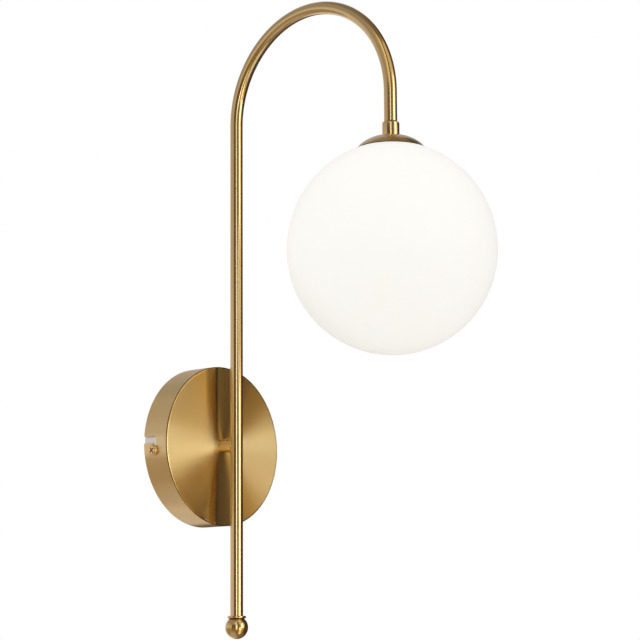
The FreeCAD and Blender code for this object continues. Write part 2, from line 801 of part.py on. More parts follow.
def holder_stirrup():
    inner = stirrup_outer - stirrup_thickness
    near = drop_y - stirrup_width / 2
    far = drop_y + stirrup_width / 2
    foot = holder_screw_height - stirrup_tail
    body = box(-stirrup_outer, stirrup_outer, near, far, foot, stirrup_top)
    body = body.cut(box(-inner, inner, near, far, foot, lower_nut_top))
    body = body.cut(rod_z(sliding_bore, lower_nut_top, stirrup_top, 0, drop_y))
    hole = holder_screw_radius + running_gap
    return body.cut(rod_x(hole, -stirrup_outer, stirrup_outer, drop_y, holder_screw_height))


def lamp_holder():
    half_width = holder_width / 2
    half_depth = holder_depth / 2
    body = box(-half_width, half_width, drop_y - half_depth, drop_y + half_depth, holder_foot, holder_top)
    body = body.makeFillet(holder_edge, [e for e in body.Edges if e.BoundBox.ZLength > holder_length / 2])
    socket_x = lamp_base_width / 2 + lamp_gap
    socket_y = lamp_base_depth / 2 + lamp_gap
    body = body.cut(box(-socket_x, socket_x, drop_y - socket_y, drop_y + socket_y, holder_foot, contact_foot))
    for side in (-1, 1):
        x = side * pin_pitch / 2
        body = body.cut(contact_block(x))
        body = body.cut(rod_z(lead_radius + lead_way, contact_top, holder_top, x, drop_y))
        start = side * (half_width - holder_hole_depth / 2) - holder_hole_depth / 2
        end = start + holder_hole_depth
        body = body.cut(rod_x(holder_screw_radius, start, end, drop_y, holder_screw_height))
    return body


def contact_block(x):
    half_width = contact_width / 2
    half_depth = contact_depth / 2
    return box(x - half_width, x + half_width, drop_y - half_depth, drop_y + half_depth,
               contact_foot, contact_top)


def holder_contacts():
    pieces = []
    half_width = contact_width / 2 - contact_wall
    half_depth = contact_depth / 2
    for side in (-1, 1):
        x = side * pin_pitch / 2
        hollow = box(x - half_width, x + half_width, drop_y - half_depth, drop_y + half_depth,
                     contact_foot, contact_top - contact_wall)
        lead = rod_z(lead_radius, contact_foot, contact_top, x, drop_y)
        pieces.append(contact_block(x).cut(hollow).cut(lead))
    return Part.makeCompound(pieces)


def holder_screws():
    length = stirrup_outer - holder_width / 2 + holder_screw_bite
    screw = cross_screw(holder_screw_radius, length, holder_head_radius, holder_head_height)
    left = aimed(screw, (-stirrup_outer, drop_y, holder_screw_height), (-1, 0, 0))
    right = aimed(screw, (stirrup_outer, drop_y, holder_screw_height), (1, 0, 0))
    return Part.makeCompound([left, right])


def bowl_arc(radius):
    # Lower half of the glass, a quarter circle from its foot to its widest place.
    slant = radius * math.sqrt(0.5)
    return Part.Arc(vec(0, 0, globe_centre - radius), vec(slant, 0, globe_centre - slant),
                    vec(radius, 0, globe_centre)).toShape()


def opal_globe():
    inner_radius = globe_radius - glass_wall
    outer_top = ellipse_arc(globe_radius, globe_rise, globe_centre, mouth_radius, globe_radius)
    inner_top = ellipse_arc(inner_radius, globe_rise - glass_wall, globe_centre, mouth_radius, inner_radius)
    mouth = lines([(mouth_radius, 0, glass_height(mouth_radius, 0)),
                   (mouth_radius, 0, glass_height(mouth_radius, glass_wall))])
    foot = lines([(0, 0, globe_centre - globe_radius), (0, 0, globe_centre - inner_radius)])
    glass = turned_z([bowl_arc(globe_radius), bowl_arc(inner_radius), outer_top, inner_top] + mouth + foot)
    rims = rims_at(glass, "z", glass_height(mouth_radius, 0))
    rims += rims_at(glass, "z", glass_height(mouth_radius, glass_wall))
    return glass.makeFillet(mouth_edge, rims).translated(vec(0, drop_y, 0))


def lamp_base():
    half_width = lamp_base_width / 2
    half_depth = lamp_base_depth / 2
    body = box(-half_width, half_width, drop_y - half_depth, drop_y + half_depth, lamp_base_foot, lamp_top)
    corners = [e for e in body.Edges if e.BoundBox.ZLength > lamp_base_length / 2]
    body = body.makeFillet(lamp_base_edge, corners)
    skirt_top = lamp_base_foot + skirt_length
    body = body.fuse(rod_z(envelope_radius + skirt_wall, lamp_base_foot, skirt_top, 0, drop_y))
    body = body.cut(rod_z(envelope_radius, lamp_base_foot, envelope_top, 0, drop_y))
    for side in (-1, 1):
        for leg in (-1, 1):
            y = drop_y + leg * pin_loop / 2
            body = body.cut(rod_z(pin_wire, lamp_top - pin_root, lamp_top, side * pin_pitch / 2, y))
    return body


def lamp_pins():
    bend = pin_loop / 2
    foot = lamp_top - pin_root
    crown = lamp_top + pin_length - pin_wire - bend
    pieces = []
    for side in (-1, 1):
        x = side * pin_pitch / 2
        near = vec(x, drop_y - bend, crown)
        far = vec(x, drop_y + bend, crown)
        over = Part.Arc(near, vec(x, drop_y, crown + bend), far).toShape()
        up = Part.makeLine(vec(x, drop_y - bend, foot), near)
        down = Part.makeLine(far, vec(x, drop_y + bend, foot))
        pieces.append(round_bar(Part.Wire([up, over, down]), pin_wire))
    return Part.makeCompound(pieces)


def capsule(radius, foot):
    # An upright tube shape with a round lower end, open at the top of the envelope.
    ball = Part.makeSphere(radius, vec(0, drop_y, foot + envelope_radius))
    return rod_z(radius, foot + envelope_radius, envelope_top, 0, drop_y).fuse(ball)


def lamp_envelope():
    foot = envelope_top - envelope_length
    return capsule(envelope_radius, foot).cut(capsule(envelope_radius - envelope_wall, foot)).removeSplitter()


def light_board():
    half_width = board_width / 2
    half = board_thickness / 2
    foot = envelope_top - board_length
    return box(-half_width, half_width, drop_y - half, drop_y + half, foot, envelope_top)


def light_chips():
    # One row of chips on each side of the board.
    half = chip_size / 2
    pieces = []
    for k in range(chip_count):
        z = envelope_top - chip_inset - k * chip_pitch
        for side in (-1, 1):
            y = drop_y + side * (board_thickness + chip_height) / 2
            pieces.append(box(-half, half, y - chip_height / 2, y + chip_height / 2, z - half, z + half))
    return Part.makeCompound(pieces)


nodes = {
    "wall_bracket": wall_bracket,
    "cable_grommet": cable_grommet,
    "bracket_earth_screw": bracket_earth_screw,
    "drum_screws": drum_screws,
    "drum_cover": drum_cover,
    "terminal_plate": terminal_plate,
    "terminal_block": terminal_block,
    "terminal_inserts": terminal_inserts,
    "terminal_screws": terminal_screws,
    "block_screws": block_screws,
    "plate_earth_screw": plate_earth_screw,
    "earth_tag": earth_tag,
    "earth_lead": earth_lead,
    "live_lead": lambda: mains_lead(-1),
    "neutral_lead": lambda: mains_lead(1),
    "arm_nipple": arm_nipple,
    "nipple_washer": nipple_washer,
    "nipple_nut": nipple_nut,
    "post_sleeve": post_sleeve,
    "tube_saddle": tube_saddle,
    "arm_tube": arm_tube,
    "tube_plug": tube_plug,
    "finial_collar": finial_collar,
    "finial_ball": finial_ball,
    "tube_ferrule": tube_ferrule,
    "shade_cap": shade_cap,
    "cap_gasket": cap_gasket,
    "globe_gripper": globe_gripper,
    "gripper_washer": gripper_washer,
    "gripper_nut": gripper_nut,
    "holder_stirrup": holder_stirrup,
    "holder_nut": holder_nut,
    "lamp_holder": lamp_holder,
    "holder_contacts": holder_contacts,
    "holder_screws": holder_screws,
    "opal_globe": opal_globe,
    "lamp_base": lamp_base,
    "lamp_pins": lamp_pins,
    "lamp_envelope": lamp_envelope,
    "light_board": light_board,
    "light_chips": light_chips,
}

os.makedirs("parts", exist_ok=True)
for name, make in nodes.items():
    shape = make()
    shape.exportStep("parts/" + name + ".step")
    print(name, "solids", len(shape.Solids), "volume", round(shape.Volume, 2), "valid", shape.isValid())
print("globe centre", round(globe_centre, 2), "drop", round(drop_y, 2), "ball centre", round(ball_centre, 2))
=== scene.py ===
import json
import math

import bmesh
import bpy
import numpy as np
from mathutils import Matrix, Vector


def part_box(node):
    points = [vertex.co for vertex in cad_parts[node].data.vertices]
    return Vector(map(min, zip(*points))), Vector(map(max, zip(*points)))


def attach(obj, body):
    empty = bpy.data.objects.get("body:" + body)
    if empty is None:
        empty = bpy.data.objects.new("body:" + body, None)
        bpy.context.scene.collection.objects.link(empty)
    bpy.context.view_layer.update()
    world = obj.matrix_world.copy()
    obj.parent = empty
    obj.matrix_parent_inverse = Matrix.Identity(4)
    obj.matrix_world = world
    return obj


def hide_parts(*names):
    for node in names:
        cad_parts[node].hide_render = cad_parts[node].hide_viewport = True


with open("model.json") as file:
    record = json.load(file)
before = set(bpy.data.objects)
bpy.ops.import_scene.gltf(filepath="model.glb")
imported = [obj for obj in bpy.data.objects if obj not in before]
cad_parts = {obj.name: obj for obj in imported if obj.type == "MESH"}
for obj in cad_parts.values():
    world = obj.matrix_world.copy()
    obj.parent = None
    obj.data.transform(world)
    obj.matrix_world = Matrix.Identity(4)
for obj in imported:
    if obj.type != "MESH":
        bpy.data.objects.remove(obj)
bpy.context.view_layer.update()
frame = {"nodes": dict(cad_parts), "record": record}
mm = 0.001  # one millimetre in metres
print("frame loaded:", len(frame["nodes"]), "nodes")


def linear(hexColour):
    # sRGB hex to linear RGBA
    parts = np.array([int(hexColour[k:k + 2], 16) for k in (1, 3, 5)]) / 255
    curve = np.where(parts <= 0.04045, parts / 12.92, ((parts + 0.055) / 1.055) ** 2.4)
    return (*curve.tolist(), 1.0)


def addNode(tree, kind, values=None, links=None, **settings):
    # one node with its settings, its socket values and the sockets that feed it
    node = tree.nodes.new(kind)
    for key, value in settings.items():
        setattr(node, key, value)
    for key, value in (values or {}).items():
        node.inputs[key].default_value = value
    for key, source in (links or {}).items():
        tree.links.new(source, node.inputs[key])
    return node


# Camera: found from the outlines of the canopy, the globe and the tube

view = {
    "place": (-1148.7, -1133.6, -159.0),  # mm
    "heading": -48.62,  # degrees from +Y, to the right is negative
    "rise": 9.072,  # degrees, looks up at the light
    "roll": -0.385,  # degrees
    "lens": 119.57,  # mm
    "sensor": 36.0,  # mm
    "near": 0.05,  # m
    "far": 60.0,  # m
}


def addCamera(settings):
    # turned by the heading, tipped up from straight down by 90 degrees and the rise, then rolled
    data = bpy.data.cameras.new("view camera")
    data.sensor_fit = "HORIZONTAL"
    data.sensor_width = settings["sensor"]
    data.lens = settings["lens"]
    data.clip_start = settings["near"]
    data.clip_end = settings["far"]
    camera = bpy.data.objects.new("view camera", data)
    bpy.context.scene.collection.objects.link(camera)
    turn = Matrix.Rotation(math.radians(settings["heading"]), 4, "Z")
    tip = Matrix.Rotation(math.radians(90 + settings["rise"]), 4, "X")
    roll = Matrix.Rotation(math.radians(settings["roll"]), 4, "Z")
    camera.matrix_world = Matrix.Translation(Vector(settings["place"]) * mm) @ turn @ tip @ roll
    bpy.context.scene.camera = camera


addCamera(view)
print("camera set")


# Surfaces: each is worked out as whole arrays

weld = 0.0005  # mm, points nearer than this become one
crease = 32  # degrees, edges sharper than this stay sharp


def putMesh(name, points, faces, material):
    # a new object at the origin
    mesh = bpy.data.meshes.new(name)
    mesh.from_pydata(points.tolist(), [], faces.tolist())
    mesh.materials.append(material)
    piece = bpy.data.objects.new(name, mesh)
    bpy.context.scene.collection.objects.link(piece)
    return piece


def putPiece(name, points, faces, uv, body, nodes, slotName, material):
    # welds poles and seams, turns the faces outwards and marks the sharp edges
    piece = putMesh(name, points, faces, material)
    mesh = piece.data
    mesh.uv_layers.new(name="turn").data.foreach_set("uv", uv.ravel())
    shape = bmesh.new()
    shape.from_mesh(mesh)
    bmesh.ops.remove_doubles(shape, verts=shape.verts, dist=weld * mm)
    bmesh.ops.dissolve_degenerate(shape, edges=shape.edges, dist=weld * mm)
    bmesh.ops.recalc_face_normals(shape, faces=shape.faces)
    shape.to_mesh(mesh)
    shape.free()
    mesh.shade_smooth()
    mesh.set_sharp_from_angle(angle=math.radians(crease))
    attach(piece, body)
    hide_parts(*nodes)
    print("made", name, len(mesh.polygons), "faces")


def gridFaces(rows, columns):
    # the row numbers and the column numbers of the four corners of each quad of a grid
    i, j = np.meshgrid(np.arange(rows - 1), np.arange(columns - 1), indexing="ij")
    i, j = i.ravel(), j.ravel()
    across = np.stack([i, i, i + 1, i + 1], 1)
    along = np.stack([j, j + 1, j + 1, j], 1)
    return across, along


def surface(points, u, v):
    # points[i, j] lies at v[i] and u[j]; gives a list of points, quads and a uv for each corner
    across, along = gridFaces(*points.shape[:2])
    faces = across * points.shape[1] + along
    uv = np.stack([u[along], v[across]], -1)
    return points.reshape(-1, 3), faces, uv


def turned(profile, axis, centre, sides):
    # P(i, t) = centre + (r cos t, r sin t, h) with r and h from the profile and the axis last;
    # u = t / 2 pi and v = metres along the profile
    radius, height = profile.T * mm
    t = np.linspace(0, 2 * math.pi, sides + 1)
    first = radius[:, None] * np.cos(t)
    second = radius[:, None] * np.sin(t)
    rise = height[:, None] + 0 * t
    order = {"X": (rise, first, second), "Y": (first, rise, second), "Z": (first, second, rise)}
    points = np.stack(order[axis], -1) + np.array(centre) * mm
    length = np.concatenate([[0], np.cumsum(np.hypot(np.diff(radius), np.diff(height)))])
    return surface(points, t / (2 * math.pi), length)


def softened(corners, steps=5):
    # an outline whose corners (x, y, radius) are rounded: each arc touches both its sides at
    # radius tan(turn / 2) from the corner
    corners = np.array(corners, float)
    pieces = [corners[:1, :2]]
    for before, corner, after in zip(corners, corners[1:], corners[2:]):
        back = (before - corner)[:2] / np.hypot(*(before - corner)[:2])
        onward = (after - corner)[:2] / np.hypot(*(after - corner)[:2])
        turn = math.pi - math.acos(np.clip(back @ onward, -1, 1))
        if corner[2] == 0:
            pieces.append(corner[None, :2])
            continue
        reach = corner[2] * math.tan(turn / 2)
        middle = (back + onward) / np.hypot(*(back + onward)) * corner[2] / math.cos(turn / 2)
        start = back * reach - middle
        finish = onward * reach - middle
        share = np.linspace(0, 1, steps)[:, None]
        arc = np.sin((1 - share) * turn) * start + np.sin(share * turn) * finish
        pieces.append(corner[:2] + middle + arc / math.sin(turn))
    pieces.append(corners[-1:, :2])
    return np.concatenate(pieces)


def spread(profile, step):
    # more points on long straight runs, so that smooth shading stays even
    gap = np.hypot(*np.diff(profile, axis=0).T)
    parts = np.maximum(1, np.ceil(gap / step)).astype(int)
    runs = [a + (b - a) * np.arange(n)[:, None] / n for a, b, n in zip(profile, profile[1:], parts)]
    return np.concatenate(runs + [profile[-1:]])


# Materials

def emptyMaterial(name):
    material = bpy.data.materials.new(name)
    material.use_nodes = True
    material.node_tree.nodes.clear()
    return material, material.node_tree


def newMaterial(name, values):
    # one principled shader with its socket values
    material, tree = emptyMaterial(name)
    shader = addNode(tree, "ShaderNodeBsdfPrincipled", values)
    addNode(tree, "ShaderNodeOutputMaterial", links={"Surface": shader.outputs[0]})
    return material, tree, shader


# the line noise from low to high moves the roughness, and lineShare of it goes into the tone
brushing = {"detail": 3.0, "decay": 0.6, "low": 0.3, "high": 0.7, "lineShare": 0.3, "cloudDetail": 2.0}


def zoneMask(tree, along, zone):
    # 1 where |along - middle| <= half the zone's width, else 0
    middle, half = (zone["from"] + zone["to"]) / 2, (zone["to"] - zone["from"]) / 2
    mask = addNode(tree, "ShaderNodeMath", {1: middle * mm, 2: half * mm}, {0: along},
                   operation="COMPARE")
    return mask.outputs[0]


def brushedBrass(name, finish, zones=()):
    # brass brushed round its axis under clear lacquer: the lines run round the piece, so a lamp's
    # reflection stretches across them. Lines = noise(cos 2 pi u, sin 2 pi u, v / line). Each zone,
    # in mm along the outline, is rubbed smoother or has a painted tone of its own, painted shade or a
    # painted sheen.
    b = brushing
    material, tree, shader = newMaterial(name, {
        "Metallic": 1.0, "Anisotropic": finish["grain"], "Anisotropic Rotation": 0.25,
        "Coat Weight": finish["lacquer"], "Coat Roughness": finish["lacquerBlur"],
        "Coat IOR": finish["lacquerIndex"]})
    place = addNode(tree, "ShaderNodeUVMap", uv_map="turn")
    parts = addNode(tree, "ShaderNodeSeparateXYZ", links={0: place.outputs[0]})
    angle = addNode(tree, "ShaderNodeMath", {1: 2 * math.pi}, {0: parts.outputs[0]},
                    operation="MULTIPLY")
    across = addNode(tree, "ShaderNodeMath", links={0: angle.outputs[0]}, operation="COSINE")
    beside = addNode(tree, "ShaderNodeMath", links={0: angle.outputs[0]}, operation="SINE")
    along = addNode(tree, "ShaderNodeMath", {1: 1 / (finish["line"] * mm)}, {0: parts.outputs[1]},
                    operation="MULTIPLY")
    spot = addNode(tree, "ShaderNodeCombineXYZ", links={0: across.outputs[0], 1: beside.outputs[0],
                                                        2: along.outputs[0]})
    lines = addNode(tree, "ShaderNodeTexNoise",
                    {"Scale": 1.0, "Detail": b["detail"], "Roughness": b["decay"]},
                    {"Vector": spot.outputs[0]})
    rough = addNode(tree, "ShaderNodeMapRange", {"From Min": b["low"], "From Max": b["high"],
                                                 "To Min": finish["rough"] * (1 - finish["uneven"]),
                                                 "To Max": finish["rough"] * (1 + finish["uneven"])},
                    {"Value": lines.outputs["Fac"]})
    coords = addNode(tree, "ShaderNodeTexCoord")
    tarnish = addNode(tree, "ShaderNodeTexNoise",
                      {"Scale": 1 / (finish["cloud"] * mm), "Detail": b["cloudDetail"]},
                      {"Vector": coords.outputs["Object"]})
    blend = addNode(tree, "ShaderNodeMath", {1: b["lineShare"]}, {0: lines.outputs["Fac"]},
                    operation="MULTIPLY")
    share = addNode(tree, "ShaderNodeMath", {1: 1 - b["lineShare"]},
                    {0: tarnish.outputs["Fac"], 2: blend.outputs[0]}, operation="MULTIPLY_ADD")
    tone = addNode(tree, "ShaderNodeMix", {"A": linear(finish["deep"]), "B": linear(finish["tone"])},
                   {"Factor": share.outputs[0]}, data_type="RGBA")
    for zone in zones:
        mask = zoneMask(tree, parts.outputs[1], zone)
        if "rub" in zone:
            rough = addNode(tree, "ShaderNodeMath", {1: -zone["rub"]}, {0: mask, 2: rough.outputs[0]},
                            operation="MULTIPLY_ADD")
        # a zone's tone is painted light: painted shade or a painted sheen
        if "tone" in zone:
            tone = addNode(tree, "ShaderNodeMix", {"B": linear(zone["tone"])},
                           {"Factor": mask, "A": tone.outputs["Result"]}, data_type="RGBA")
    tree.links.new(rough.outputs[0], shader.inputs["Roughness"])
    tree.links.new(tone.outputs["Result"], shader.inputs["Base Color"])
    tangent = addNode(tree, "ShaderNodeTangent", direction_type="UV_MAP", uv_map="turn")
    tree.links.new(tangent.outputs[0], shader.inputs["Tangent"])
    return material


# line and cloud in mm; real brush lines are finer than a pixel, so they are drawn 0.5 mm wide
canopyFinish = {"tone": "#E6CC94", "deep": "#DEC184", "rough": 0.33, "grain": 1.0, "line": 0.5,
                "uneven": 0.12, "cloud": 30.0, "lacquer": 0.3, "lacquerBlur": 0.25,
                "lacquerIndex": 1.5}
capFinish = {**canopyFinish, "rough": 0.26, "grain": 0.6, "lacquer": 1.0}
tubeFinish = {"tone": "#D8BE84", "deep": "#D0B274", "rough": 0.18, "grain": 0.5, "line": 0.5,
              "uneven": 0.03, "cloud": 30.0, "lacquer": 1.0, "lacquerBlur": 0.12, "lacquerIndex": 1.8}
postFinish = {**tubeFinish, "rough": 0.14, "grain": 0.2}
ballFinish = {**tubeFinish, "rough": 0.21, "lacquer": 0.5, "lacquerBlur": 0.2}
canopyRubAndPaintedLight = [
    {"from": 54.75, "to": 55.55, "rub": 0.15},  # the edge's front half, rubbed smooth
    {"from": 55.55, "to": 56.35, "tone": "#7C5A2C"},  # its other half, painted dark brown as shade along the outer edge
    {"from": 56.4, "to": 80.0, "tone": "#F8DEA8"},  # the wall, painted a little paler as a brighter sheen than the face's
]
ballGrooveShade = [{"from": 4.7, "to": 6.5, "tone": "#5A3E1C"}]  # painted shade in the groove under the collar
# long soft fans on the flat face
canopyBrass = brushedBrass("spun brushed brass", canopyFinish, canopyRubAndPaintedLight)
# the same with a brighter skin of lacquer
capBrass = brushedBrass("spun cap brass", capFinish)
# narrow clear stripes along the tube
tubeBrass = brushedBrass("satin polished brass", tubeFinish)
# small glints that hardly stretch
postBrass = brushedBrass("turned brass post", postFinish)
# a blurred picture of the room
ballBrass = brushedBrass("softly polished brass", ballFinish, ballGrooveShade)


# sizes in mm; the real etch is finer than a pixel, so it is drawn 0.4 mm wide
opalFinish = {"tone": "#FEFBF6", "deep": "#FBF8F1", "cloud": 40.0, "etch": 0.4, "detail": 2.0,
              "relief": 0.08, "height": 0.01,
              "reach": (4.0, 3.8, 3.5)}  # how far red, green and blue light spread inside


def opalGlass(finish):
    # blown opal glass, acid etched to a matt skin: white, slightly warm, with no clear reflections
    material, tree, shader = newMaterial("etched opal glass", {
        "Roughness": 0.55, "IOR": 1.5, "Specular IOR Level": 0.1, "Subsurface Weight": 0.3,
        "Subsurface Radius": [reach * mm for reach in finish["reach"]], "Subsurface Scale": 1.0})
    coords = addNode(tree, "ShaderNodeTexCoord")
    cloud = addNode(tree, "ShaderNodeTexNoise",
                    {"Scale": 1 / (finish["cloud"] * mm), "Detail": finish["detail"]},
                    {"Vector": coords.outputs["Object"]})
    tone = addNode(tree, "ShaderNodeMix", {"A": linear(finish["deep"]), "B": linear(finish["tone"])},
                   {"Factor": cloud.outputs["Fac"]}, data_type="RGBA")
    tree.links.new(tone.outputs["Result"], shader.inputs["Base Color"])
    etch = addNode(tree, "ShaderNodeTexNoise",
                   {"Scale": 1 / (finish["etch"] * mm), "Detail": finish["detail"]},
                   {"Vector": coords.outputs["Object"]})
    bump = addNode(tree, "ShaderNodeBump",
                   {"Strength": finish["relief"], "Distance": finish["height"] * mm},
                   {"Height": etch.outputs["Fac"]})
    tree.links.new(bump.outputs[0], shader.inputs["Normal"])
    return material


def grained(name, tone, deep, grain, values, relief=0.1, height=0.02):
    # a moulded, cast, plated or turned finish: noise of a real grain size in mm mixes two close
    # tones and raises the skin by up to the height in mm
    material, tree, shader = newMaterial(name, values)
    coords = addNode(tree, "ShaderNodeTexCoord")
    noise = addNode(tree, "ShaderNodeTexNoise", {"Scale": 1 / (grain * mm), "Detail": 3.0},
                    {"Vector": coords.outputs["Object"]})
    mix = addNode(tree, "ShaderNodeMix", {"A": linear(deep), "B": linear(tone)},
                  {"Factor": noise.outputs["Fac"]}, data_type="RGBA")
    tree.links.new(mix.outputs["Result"], shader.inputs["Base Color"])
    bump = addNode(tree, "ShaderNodeBump", {"Strength": relief, "Distance": height * mm},
                   {"Height": noise.outputs["Fac"]})
    tree.links.new(bump.outputs[0], shader.inputs["Normal"])
    return material


opal = opalGlass(opalFinish)
metal = {"Metallic": 1.0}
finishes = {
    # metals: a bright sheen, slightly mottled
    "zinc_plated_steel": grained("zinc plated steel", "#F2F2F0", "#DEE0E0", 1.2,
                                 {**metal, "Roughness": 0.32}),
    "plain_brass": grained("turned brass", "#F6DFAE", "#E2C488", 0.6, {**metal, "Roughness": 0.22}),
    "spring_steel": grained("tempered spring steel", "#B4B4B2", "#93938F", 1.5,
                            {**metal, "Roughness": 0.3}),
    "nickel_plated_contact": grained("nickel plate", "#CFC9BC", "#B9B2A4", 0.8,
                                     {**metal, "Roughness": 0.2}),
    # ceramic and mouldings: dull and even, the leads and the sealing ring with a slight sheen
    "white_ceramic": grained("unglazed steatite", "#EDEAE2", "#E2DED3", 0.5, {"Roughness": 0.6}),
    "white_plastic": grained("moulded nylon", "#F0EEE8", "#E8E5DD", 0.4, {"Roughness": 0.42}),
    "dark_rubber": grained("moulded rubber", "#26262A", "#1A1A1D", 0.4, {"Roughness": 0.6}),
    "clear_silicone": grained("milky silicone", "#DEDAD0", "#D2CEC4", 0.6, {"Roughness": 0.35}),
    "brown_lead": grained("brown silicone sleeve", "#6A4028", "#5A3520", 0.6, {"Roughness": 0.45}),
    "blue_lead": grained("blue silicone sleeve", "#3C6FB0", "#315F9B", 0.6, {"Roughness": 0.45}),
    "green_yellow_lead": grained("green and yellow sleeve", "#B9C437", "#3E8F3E", 2.5,
                                 {"Roughness": 0.45}),
    # board and chips: smooth, with a faint shine
    "white_circuit_board": grained("white solder mask", "#EFEFEA", "#E6E6E0", 0.3,
                                   {"Roughness": 0.35}),
    "light_chip": grained("phosphor gel", "#F2D14A", "#E6BE32", 0.3, {"Roughness": 0.3}),
    # glass: clear, seen by its reflections alone
    "clear_glass": grained("clear bulb glass", "#F7F9F9", "#F2F5F5", 6.0,
                           {"Roughness": 0.03, "IOR": 1.47, "Transmission Weight": 1.0}, 0.0),
}
for entry in frame["record"]["subparts"]:
    if entry["material_slot"] in finishes:
        cadMesh = frame["nodes"][entry["node"]].data
        cadMesh.materials.clear()
        cadMesh.materials.append(finishes[entry["material_slot"]])
print("materials made")


# Canopy: a spun drum with two L slots

canopy = {
    "radius": 60.0, "depth": 24.0, "wall": 1.0, "edge": 1.0, "rim": 0.3, "bore": 4.05,
    "slotHalf": 2.3, "slotDepth": 10.85, "lock": 5.8, "twist": 7.6, "mouthRound": 1.1,
    "runOut": 10.0,  # how far the cut goes on past the rim
    "cell": 0.3, "flatCell": 1.5,  # mesh size on the wall and on the face
    "turnStep": 2.0,  # degrees, away from the slots
    "fineTurn": 12.0,  # degrees to each side of a slot, meshed at the cell size
    "same": 1e-4,  # radians, turns nearer than this are one
    "nudge": 0.01,  # step for slopes
    "clear": 50.0,  # distance from a slot given to points off the wall
}


def slotDistance(s, y, c):
    # signed distance to an L, the union of a run from the rim and a run round the drum, whose two
    # corners at the rim are rounded: d = q - hypot(q - slot, q - rim) where both are nearer than q
    def capsule(a, b):
        run = b - a
        point = np.stack([s - a[0], y - a[1]], -1)
        share = np.clip(point @ run / (run @ run), 0, 1)
        return np.linalg.norm(point - share[..., None] * run, axis=-1) - c["slotHalf"]

    mouth = math.radians(c["lock"] - c["twist"]) * c["radius"]
    lock = math.radians(c["lock"]) * c["radius"]
    corner = np.array([mouth, -c["slotDepth"]])
    slot = np.minimum(capsule(np.array([mouth, c["runOut"]]), corner),
                      capsule(corner, np.array([lock, corner[1]])))
    soft, rim = c["mouthRound"], -c["rim"] - y
    near = np.hypot(np.maximum(soft - slot, 0), np.maximum(soft - rim, 0))
    return np.maximum(soft, np.minimum(slot, rim)) - near


def canopyOutlines(c):
    # (r, y) over the flat face, the rounded edge and the wall, and the same less the sheet's thickness
    front = -c["depth"]
    outer = softened([(c["bore"], front, 0), (c["radius"], front, c["edge"]),
                      (c["radius"], -c["rim"], 0)], steps=9)
    outer = np.concatenate([spread(outer[:2], c["flatCell"])[:-1], outer[1:-1],
                            spread(outer[-2:], c["cell"])[1:]])
    inner = np.stack([np.minimum(outer[:, 0], c["radius"] - c["wall"]),
                      np.maximum(outer[:, 1], front + c["wall"])], 1)
    return outer, inner


def canopyTurns(c):
    # angles round the drum, close together beside the slots at 0 and 180 degrees
    half = math.radians(c["fineTurn"])
    coarse = np.radians(np.arange(0, 360, c["turnStep"]))
    coarse = coarse[np.abs((coarse + half) % math.pi - half) > half]
    fine = np.arange(-half, half, c["cell"] / c["radius"])
    t = np.sort(np.concatenate([coarse, fine % (2 * math.pi), fine + math.pi]))
    t = t[np.concatenate([[True], np.diff(t) > c["same"]])]
    return np.concatenate([t, [t[0] + 2 * math.pi]])


def rimFaces(faces, uv, shape):
    # a quad between the two skins along each side that only one face has; points of the last
    # column lie on the first
    index = np.arange(shape[0] * shape[1]).reshape(shape)
    seam = index.ravel().copy()
    seam[index[:, -1]] = index[:, 0]
    sides = np.concatenate([seam[faces[:, [k, (k + 1) % 4]]] for k in range(4)])
    sideUv = np.concatenate([uv[:, [k, (k + 1) % 4]] for k in range(4)])
    _, first, uses = np.unique(np.sort(sides, 1), axis=0, return_index=True, return_counts=True)
    lone = first[uses == 1]
    start, end = sides[lone].T
    startUv, endUv = sideUv[lone, 0], sideUv[lone, 1]
    rims = np.stack([end, start, start + index.size, end + index.size], 1)
    return rims, np.stack([endUv, startUv, startUv, endUv], 1)


def makeCanopy(c):
    # P(i, t) = (r cos t, y, r sin t) over face, edge and wall. Cells inside a slot are left out, the
    # cut's points move by -d grad d on to its outline, and an inner skin and rims close the shell.
    outer, inner = canopyOutlines(c)
    t = canopyTurns(c)
    r, y = outer[:, 0, None], outer[:, 1, None] + 0 * t
    # both slots look alike after half a turn; on the left, t = pi and the slot runs downwards
    arc = ((t + math.pi / 2) % math.pi - math.pi / 2)[None] * c["radius"] + 0 * r
    onWall = r + 0 * t > c["radius"] - c["nudge"]
    gap = np.where(onWall, slotDistance(arc, y, c), c["clear"])
    across, along = gridFaces(*gap.shape)
    corners = across * gap.shape[1] + along
    keep = gap[across, along].mean(1) > 0
    faces = corners[keep]
    cut, used = np.zeros((2, gap.size), bool)
    cut[corners[~keep]] = True
    used[faces] = True
    edge = (cut & used).reshape(gap.shape)
    onRim = np.isclose(outer[:, 1], -c["rim"])[:, None]
    slopeS = (slotDistance(arc + c["nudge"], y, c) - gap) / c["nudge"]
    slopeY = (slotDistance(arc, y + c["nudge"], c) - gap) / c["nudge"]
    shiftY = np.where(edge & ~onRim, -gap * slopeY, 0)
    angle = t[None] + np.where(edge, -gap * slopeS, 0) / c["radius"]

    def skin(outline):
        r, y = outline[:, 0, None], outline[:, 1, None] + shiftY
        return np.stack([r * np.cos(angle), y, r * np.sin(angle)], -1).reshape(-1, 3) * mm

    length = np.concatenate([[0], np.cumsum(np.hypot(*np.diff(outer, axis=0).T))]) * mm
    uv = np.stack([(t / (2 * math.pi))[along], length[across]], -1)[keep]
    rims, rimUv = rimFaces(faces, uv, gap.shape)
    return (np.concatenate([skin(outer), skin(inner)]),
            np.concatenate([faces, faces[:, ::-1] + gap.size, rims]),
            np.concatenate([uv, uv[:, ::-1], rimUv]))


putPiece("brushed_canopy", *makeCanopy(canopy), "fixture", ["drum_cover"], "brushed_brass", canopyBrass)


# Arm: one bowed tube on its post

arm = {"radius": 4.75, "y": -37.5, "bow": 76.5, "foot": -126.8, "tip": 215.6,
       "sides": 64, "bowSteps": 120, "step": 8.0, "downSteps": 8}
arm["spring"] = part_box("arm_tube")[1].z / mm - arm["bow"] - arm["radius"]  # so its top stays inside


